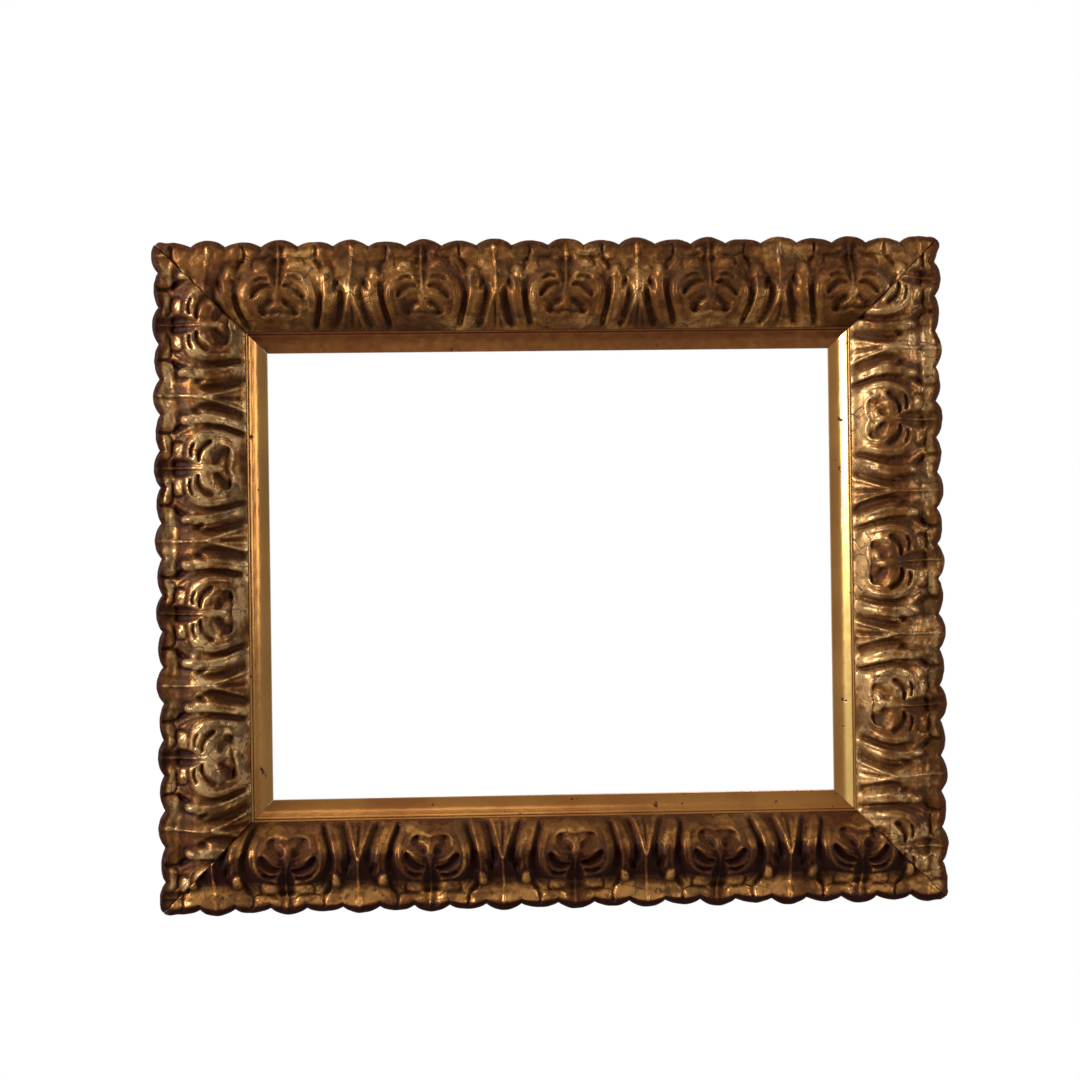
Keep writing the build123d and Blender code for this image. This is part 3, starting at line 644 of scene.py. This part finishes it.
def sight_slip(side, seed):
    """One sight slip: its section swept between the mitres, very slightly uneven. Its painted
    highlight and painted shade change over to the steep band, and it darkens along the quirk and
    the outer edge."""
    section = slip_section()
    half = half_span(side) - GLUE_LINE
    u = np.linspace(-1, 1, SLIP_ROWS)[:, None]
    out, up = section[None, :, 0], section[None, :, 1]
    along = u * (half + out)
    seen = ease(out, -1, 0.5) * (1 - ease(out, SLIP_FACE - 0.5, SLIP_FACE)) * (up > LEDGE + 1)
    uneven = by_hand("slip waves", along, 4 * out, seed)
    uneven = uneven + by_hand("slip ripples", along, 4 * out, seed)
    height = up + seen * (uneven - 0.15)

    band = ease(out, 7, 11) * (1 - ease(out, 14.4, 15)) * (up > SIGHT_LIP)
    # Painted highlight and painted shade of this side's slip, on its flat and on its band
    painted_slip_highlight, painted_slip_shade = (flat + (steep - flat) * band
                   for flat, steep in (SLIP_HIGHLIGHT[side], SLIP_SHADE[side]))
    edge = np.exp(-((out - QUIRK_OUT) / 0.45) ** 2) + np.exp(-((out - SLIP_FACE) / 0.5) ** 2)
    points = place(side, along, out + 0 * along, height)
    # The dark lines along the quirk and the outer edge get the painted shade added, and the painted
    # highlight goes alongside
    finish = {"edge": edge + painted_slip_shade + 0 * along, "painted_highlight": painted_slip_highlight + 0 * along}
    return tube("slip_" + side, points, finish)


# Materials

class Wire:
    """One value in a material's node graph. Arithmetic on wires adds math nodes."""

    def __init__(self, tree, socket):
        self.tree = tree
        self.socket = socket

    def node(self, kind, inputs, output=0, **settings):
        """Adds a node, feeds its inputs by name or number, and returns one of its outputs."""
        made = self.tree.nodes.new(kind)
        for key, value in settings.items():
            setattr(made, key, value)
        for key, value in inputs.items():
            if isinstance(value, Wire):
                self.tree.links.new(value.socket, made.inputs[key])
            else:
                made.inputs[key].default_value = value
        return Wire(self.tree, made.outputs[output])

    def math(self, operation, *values):
        """One operation of arithmetic on wires and numbers."""
        return self.node("ShaderNodeMath", dict(enumerate(values)), operation=operation)

    def __add__(self, other):
        return self.math("ADD", self, other)

    def __sub__(self, other):
        return self.math("SUBTRACT", self, other)

    def __rsub__(self, other):
        return self.math("SUBTRACT", other, self)

    def __mul__(self, other):
        return self.math("MULTIPLY", self, other)

    __radd__ = __add__
    __rmul__ = __mul__

    def ease(self, low, high):
        """0 up to low, 1 from high on, and a smooth S between."""
        return self.node("ShaderNodeMapRange", {0: self, 1: low, 2: high},
                         interpolation_type="SMOOTHSTEP")

    def blend(self, first, second):
        """Colour between two colours, by this value."""
        return self.node("ShaderNodeMix", {0: self, 6: first, 7: second},
                         output=2, data_type="RGBA")

    def attribute(self, name):
        """One of the mesh's own values per point."""
        return self.node("ShaderNodeAttribute", {}, output="Fac", attribute_name=name)

    def noise(self, scale, detail, stretch=(1, 1, 1)):
        """Cloudy noise on this vector, a number of cells to the metre."""
        spread = self.node("ShaderNodeMapping", {"Vector": self, "Scale": stretch})
        return self.node("ShaderNodeTexNoise",
                         {"Vector": spread, "Scale": scale, "Detail": detail})

    def cracks(self, scale, wide):
        """Lines between irregular cells, so many to the metre: 1 on a line, 0 off it."""
        gap = self.node("ShaderNodeTexVoronoi", {"Vector": self, "Scale": scale},
                        feature="DISTANCE_TO_EDGE")
        return 1 - gap.ease(0, wide)


def rgb(red, green, blue):
    """Opaque colour from its three linear parts."""
    return (red, green, blue, 1.0)


def shade(tone, red, green, blue):
    """A tone with each of its three parts scaled."""
    return rgb(tone[0] * red, tone[1] * green, tone[2] * blue)


# Colours of the carved gilding
COPPER_GOLD = rgb(0.115, 0.044, 0.012)
WARM_GOLD = rgb(0.165, 0.071, 0.018)
YELLOW_GOLD = rgb(0.30, 0.138, 0.034)
# Paler gold for the painted light on the sides that the light rakes
PALE_GOLD = rgb(0.29, 0.176, 0.074)
BOLE = rgb(0.062, 0.024, 0.011)
DARK_DIRT = rgb(0.036, 0.0105, 0.0035)
BROWN_DIRT = rgb(0.072, 0.026, 0.009)
STAIN = rgb(0.050, 0.022, 0.009)
CRACK = rgb(0.018, 0.009, 0.006)
# Painted shade: near-black brown
PAINTED_SHADE_BROWN = rgb(0.014, 0.0028, 0.0012)

# Colours of the slips' gilding
RED_GOLD = rgb(0.178, 0.066, 0.016)
BURNISHED_GOLD = rgb(0.236, 0.103, 0.025)
# Painted highlight on the slips that face the light
HIGHLIGHT_GOLD = rgb(0.48, 0.325, 0.108)
# Dark red of the lines along the quirk and the outer edge and of the painted shade on the upper
# slip
WORN_AND_SHADED_GOLD = rgb(0.094, 0.0265, 0.009)
CHIPPED_BOLE = rgb(0.045, 0.018, 0.009)

# Tones of the woods
PINE = (0.46, 0.275, 0.125)
DARK_PEG = (0.30, 0.17, 0.08)


def new_material(name):
    """An empty material: returns it, its shader node and its object coordinates."""
    material = bpy.data.materials.new(name)
    material.use_nodes = True
    tree = material.node_tree
    shader = tree.nodes["Principled BSDF"]
    start = Wire(tree, None)
    coords = start.node("ShaderNodeTexCoord", {}, output="Object")
    return material, shader, coords


def feed(shader, wires):
    """Links wires to a shader's sockets, and sets the constants."""
    for key, value in wires.items():
        if isinstance(value, Wire):
            value.tree.links.new(value.socket, shader.inputs[key])
        else:
            shader.inputs[key].default_value = value


def bump(height, strength, distance):
    """Normal of the surface as if raised by a height, distance metres to the unit."""
    return height.node("ShaderNodeBump",
                       {"Height": height, "Strength": strength, "Distance": distance})


def carved_gilding():
    """Old water gilding on carved gesso: dirt in the recesses, painted shade in a near-black brown
    where the exposure falls below 0, copper gold on the slopes, and rubbed gold under a thin
    varnish on the ridges, paler on some sides as painted light, with bole showing through, stains
    and fine cracks. The exposure also carries each side's painted light and shade, so these shares
    move with it."""
    material, shader, coords = new_material("carved_gilding")
    exposure_and_painted_light = coords.attribute("exposure_and_painted_light")
    pale = coords.attribute("pale")
    broad = coords.noise(26, detail=5)
    fine = coords.noise(170, detail=5)
    grit = coords.noise(620, detail=3)
    cracks = coords.cracks(52, wide=0.028) * broad.ease(0.46, 0.6)
    # The exposure holds the side's painted light and shade as well as the recesses
    level = exposure_and_painted_light + 1.5 * (broad - 0.5) + 0.9 * (fine - 0.5)
    gilded = level.ease(0.22, 0.60)
    rubbed_and_painted_light = level.ease(0.58, 0.92)
    slope = broad.ease(0.35, 0.7).blend(COPPER_GOLD, WARM_GOLD)
    # The pale value is painted light: paler rubbed gold on the sides that the light rakes
    gold = rubbed_and_painted_light.blend(slope, pale.blend(YELLOW_GOLD, PALE_GOLD))
    bole = fine.ease(0.58, 0.70) * level.ease(0.35, 0.6)
    gold = (bole * 0.7).blend(gold, BOLE)
    dirt = grit.ease(0.3, 0.7).blend(DARK_DIRT, BROWN_DIRT)
    stain = coords.noise(58, detail=6).ease(0.52, 0.60) * 0.62
    colour = stain.blend(gilded.blend(dirt, gold), STAIN)
    colour = (cracks * 0.8).blend(colour, CRACK)
    # Painted shade: near-black brown where the side's painted shade takes the exposure below 0
    colour = (1 - exposure_and_painted_light.ease(-0.6, 0.1)).blend(colour, PAINTED_SHADE_BROWN)
    feed(shader, {
        "Base Color": colour,
        "Metallic": 0.06 + 0.44 * gilded * (1 - bole) * (1 - stain),
        "Roughness": 0.54 - 0.16 * gilded - 0.03 * rubbed_and_painted_light + 0.2 * (fine - 0.5),
        "Specular IOR Level": 0.05,
        "Coat Weight": 0.2 * rubbed_and_painted_light * (1 - bole) * (1 - stain),
        "Coat Roughness": 0.16,
        "Normal": bump(fine * 0.6 + grit * 0.25 - cracks * 0.6, strength=0.5, distance=0.0007),
    })
    return material


def slip_gilding():
    """Smooth burnished gilding: cloudy red gold, a paler gold as a painted highlight on the slips
    that face the light, darkened unevenly to a dark red along the quirk and the outer edge and, as
    painted shade, over the upper slip, and a few chips down to the bole."""
    material, shader, coords = new_material("slip_gilding")
    edge = coords.attribute("edge")
    painted_highlight = coords.attribute("painted_highlight")
    broad = coords.noise(16, detail=4)
    fine = coords.noise(140, detail=4)
    chips = (coords.noise(110, detail=6) + 0.05 * coords.noise(9, detail=2)).ease(0.695, 0.73)
    gold = broad.ease(0.35, 0.68).blend(RED_GOLD, BURNISHED_GOLD)
    # Painted highlight: a paler gold where the slip faces the light
    gold = painted_highlight.blend(gold, HIGHLIGHT_GOLD)
    # Painted shade over the upper slip, with darker lines along the quirk and the outer edge
    rubbed_and_painted_light = (edge * 0.75 + 0.5 * (fine - 0.5)).ease(0.25, 0.85)
    gold = rubbed_and_painted_light.blend(gold, WORN_AND_SHADED_GOLD)
    feed(shader, {
        "Base Color": chips.blend(gold, CHIPPED_BOLE),
        "Metallic": 0.55 - 0.4 * chips - 0.15 * rubbed_and_painted_light,
        "Roughness": 0.23 + 0.2 * chips + 0.14 * (fine - 0.5),
        "Specular IOR Level": 0.08,
        "Normal": bump(fine * 0.4 - chips, strength=0.3, distance=0.0005),
    })
    return material


def softwood(name, stretch, across, tone):
    """Old softwood: wavy growth lines and fine pores along the rail, a duller cast of dust and a
    few dark stains. Stretch draws the grain out along the rail, and across is the axis that the
    growth lines follow each other on."""
    material, shader, coords = new_material(name)
    drawn = coords.node("ShaderNodeMapping", {"Vector": coords, "Scale": stretch})
    growth = coords.node(
        "ShaderNodeTexWave",
        {"Vector": drawn, "Scale": 44.0, "Distortion": 11.0, "Detail": 2.0, "Detail Scale": 0.3},
        output="Fac", bands_direction=across, wave_profile="SAW")
    pores = coords.noise(420, detail=2, stretch=stretch)
    cloud = coords.noise(38, detail=4, stretch=stretch)
    stains = coords.noise(11, detail=4)
    late = growth.ease(0.55, 1.0) * cloud.ease(0.3, 0.6)
    wood = cloud.ease(0.32, 0.7).blend(shade(tone, 0.74, 0.74, 0.74), rgb(*tone))
    wood = (late * 0.7).blend(wood, shade(tone, 0.50, 0.40, 0.33))
    wood = (pores.ease(0.54, 0.68) * 0.5).blend(wood, shade(tone, 0.45, 0.45, 0.45))
    wood = (stains.ease(0.5, 0.74) * 0.45).blend(wood, shade(tone, 0.48, 0.48, 0.48))
    feed(shader, {
        "Base Color": wood,
        "Roughness": 0.66 + 0.2 * (pores - 0.5) + 0.08 * late,
        "Specular IOR Level": 0.3,
        "Normal": bump(pores * 0.7 + late * 0.5, strength=0.35, distance=0.0005),
    })
    return material


def metal(name, bright, dark, rough):
    """Old hardware: tarnish in clouds, brighter where it has been rubbed."""
    material, shader, coords = new_material(name)
    clouds = coords.noise(90, detail=5)
    scratch = coords.noise(700, detail=2, stretch=(1, 1, 0.15))
    tarnish = clouds.ease(0.42, 0.68)
    feed(shader, {
        "Base Color": tarnish.blend(rgb(*bright), rgb(*dark)),
        "Metallic": 0.9 - 0.35 * tarnish,
        "Roughness": rough + 0.25 * tarnish + 0.12 * (scratch - 0.5),
        "Normal": bump(scratch * 0.4 + clouds * 0.4, strength=0.2, distance=0.0003),
    })
    return material


# Dress the model

carved_gold = carved_gilding()
slip_gold = slip_gilding()
for number, side in enumerate(SIDES):
    for make, node, slot, finish in (
        (carved_moulding, "carved_moulding_", "carved_gilding", carved_gold),
        (sight_slip, "sight_slip_", "slip_gilding", slip_gold),
    ):
        piece = make(side, SEED_FIRST + SEED_STEP * number)
        piece.data.materials.append(finish)
        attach(piece, "frame")
        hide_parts(node + side)

level_wood = softwood("softwood_level", stretch=(0.07, 1, 1), across="Z", tone=PINE)
upright_wood = softwood("softwood_upright", stretch=(1, 1, 0.07), across="X", tone=PINE)
peg_wood = softwood("peg_wood", stretch=(1, 0.1, 1), across="X", tone=DARK_PEG)
iron = metal("nail_iron", bright=(0.22, 0.20, 0.18), dark=(0.07, 0.045, 0.032), rough=0.5)
brass = metal("brass", bright=(0.46, 0.30, 0.105), dark=(0.17, 0.105, 0.045), rough=0.36)
screw_brass = metal("screw_brass", bright=(0.30, 0.185, 0.065), dark=(0.10, 0.06, 0.028), rough=0.4)


def finish_of(node):
    """Finish of a CAD node that stays in view."""
    if node.startswith("back_rail"):
        return level_wood if node.endswith(("top", "bottom")) else upright_wood
    if node == "lap_pegs":
        return peg_wood
    if node.endswith("nails"):
        return iron
    return screw_brass if node.endswith("screws") else brass


for name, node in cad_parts.items():
    if not name.startswith(("carved_moulding", "sight_slip")):
        for index in range(max(1, len(node.material_slots))):
            if index < len(node.material_slots):
                node.material_slots[index].material = finish_of(name)
            else:
                node.data.materials.append(finish_of(name))


# Stage: pale floor, soft lights, white surroundings and the photograph's camera

def stage():
    """Pale floor well below the hanging frame, a square of four corners."""
    size, drop = 1.3, -1.55
    corners = [(-size, -size, drop), (size, -size, drop), (size, size, drop), (-size, size, drop)]
    mesh = bpy.data.meshes.new("floor")
    mesh.from_pydata(corners, [], [(0, 1, 2, 3)])
    floor = bpy.data.objects.new("floor", mesh)
    bpy.context.scene.collection.objects.link(floor)
    material, shader, coords = new_material("floor")
    feed(shader, {"Base Color": rgb(0.86, 0.86, 0.85), "Roughness": 0.9})
    tree = material.node_tree
    seen = coords.node("ShaderNodeLightPath", {}, output="Is Camera Ray")
    glow = coords.node("ShaderNodeEmission", {"Color": rgb(1, 1, 1), "Strength": 1.0})
    lit = Wire(tree, shader.outputs[0])
    pale = coords.node("ShaderNodeMixShader", {0: seen * 0.75, 1: lit, 2: glow})
    tree.links.new(pale.socket, tree.nodes["Material Output"].inputs["Surface"])
    mesh.materials.append(material)


def lamp(name, spot, size, power, tint):
    """Soft square lamp that points at the frame's middle."""
    light = bpy.data.lights.new(name, "AREA")
    light.shape = "SQUARE"
    light.size = size
    light.energy = power
    light.color = tint
    obj = bpy.data.objects.new(name, light)
    bpy.context.scene.collection.objects.link(obj)
    back = np.array(spot) / np.linalg.norm(spot)
    right = np.cross((0, 0, 1), back)
    right = right / np.linalg.norm(right)
    turn = Matrix(np.column_stack([right, np.cross(back, right), back]).tolist()).to_4x4()
    obj.matrix_world = Matrix.Translation(spot) @ turn


def surroundings():
    """White to the camera and in reflections, and a soft warm fill for the rest."""
    world = bpy.data.worlds.new("studio")
    bpy.context.scene.world = world
    world.use_nodes = True
    tree = world.node_tree
    start = Wire(tree, None)
    seen = start.node("ShaderNodeLightPath", {}, output="Is Camera Ray")
    path = seen.socket.node
    glossy = Wire(tree, path.outputs["Is Glossy Ray"])
    through = Wire(tree, path.outputs["Is Transmission Ray"])
    white = seen.math("MAXIMUM", seen.math("MAXIMUM", seen, glossy), through)
    feed(tree.nodes["Background"], {
        "Color": white.blend(rgb(1, 0.74, 0.52), rgb(1, 1, 1)),
        "Strength": 0.06 + 0.94 * white,
    })


def camera():
    """The photograph's view: almost straight on, from a little left of and above the frame's
    middle, and turned slightly about the line of sight."""
    spot = (-0.048, -1.275, 0.026)
    yaw, pitch, roll = math.radians(1.72), math.radians(0.12), math.radians(0.79)
    data = bpy.data.cameras.new("camera")
    data.sensor_fit = "HORIZONTAL"
    data.sensor_width = 36.0
    data.lens = 48.2
    obj = bpy.data.objects.new("camera", data)
    bpy.context.scene.collection.objects.link(obj)
    turn = Matrix.Rotation(-yaw, 4, "Z") @ Matrix.Rotation(math.pi / 2 + pitch, 4, "X")
    obj.matrix_world = Matrix.Translation(spot) @ turn @ Matrix.Rotation(-roll, 4, "Z")
    bpy.context.scene.camera = obj


stage()
lamp("key", (-1.8, -0.8, 0.5), size=0.9, power=76, tint=(1.0, 0.95, 0.88))
lamp("fill", (1.8, -0.85, 0.3), size=0.8, power=22, tint=(1.0, 0.94, 0.86))
lamp("top", (-0.2, -0.9, 1.8), size=0.8, power=8, tint=(1.0, 0.95, 0.9))
lamp("back", (0.8, 1.9, 1.2), size=1.4, power=40, tint=(1.0, 0.97, 0.94))
surroundings()
camera()
bpy.context.scene.view_settings.view_transform = "Standard"
